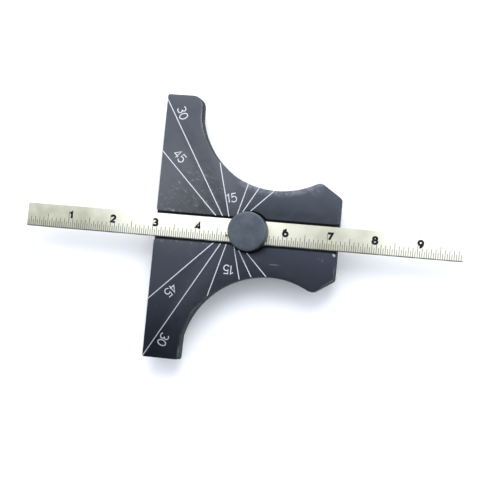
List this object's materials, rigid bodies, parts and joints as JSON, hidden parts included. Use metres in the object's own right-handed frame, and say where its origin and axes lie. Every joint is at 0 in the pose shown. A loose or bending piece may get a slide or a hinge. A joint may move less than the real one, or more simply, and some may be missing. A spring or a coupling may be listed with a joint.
{
  "type": "rule depth and angle gauge",
  "caption": "T-shaped steel gauge head with angle lines and a narrow sliding rule held in a milled groove by a slotted clamp stud and a knurled nut.",
  "frame": {"origin": "the middle of the head's reference face, half way through the head's thickness", "axes": "+X along the rule from the reference face to the tail, +Y along the reference face, +Z out of the engraved face"},
  "size_m": [0.0999, 0.06, 0.0109],
  "materials": {
    "head_blued_steel": "semi-gloss blue-black oxide, worn lighter at the edges, with white-filled engraving",
    "rule_satin_steel": "satin, with black-filled graduations and numbers",
    "stud_grey_steel": "smooth matte grey oxide",
    "spring_steel": "bright rolled",
    "washer_steel": "turned, dull",
    "nut_blued_steel": "straight knurled, blue-black oxide with worn crests"
  },
  "bodies": {
    "head": {"head": "head_blued_steel", "back_washer": "washer_steel", "stud_spring": "spring_steel"},
    "rule": {"rule": "rule_satin_steel"},
    "stud": {"clamp_stud": "stud_grey_steel"},
    "nut": {"clamp_nut": "nut_blued_steel"}
  },
  "joints": [
    {"name": "rule_slide", "type": "slide", "parent": "head", "child": "rule", "axis": [1, 0, 0], "range_m": [-0.042, 0.0305]},
    {"name": "nut_turn", "type": "hinge", "parent": "head", "child": "nut", "pos_m": [0.0218, 0, -0.0042], "axis": [0, 0, -1], "range_deg": [0, 300]},
    {"name": "stud_lift", "type": "slide", "parent": "head", "child": "stud", "axis": [0, 0, 1], "range_m": [0, 0.000583]}
  ],
  "couplings": [
    {"joint": "nut_turn", "follows": "stud_lift", "rad_per_m": 8976}
  ]
}
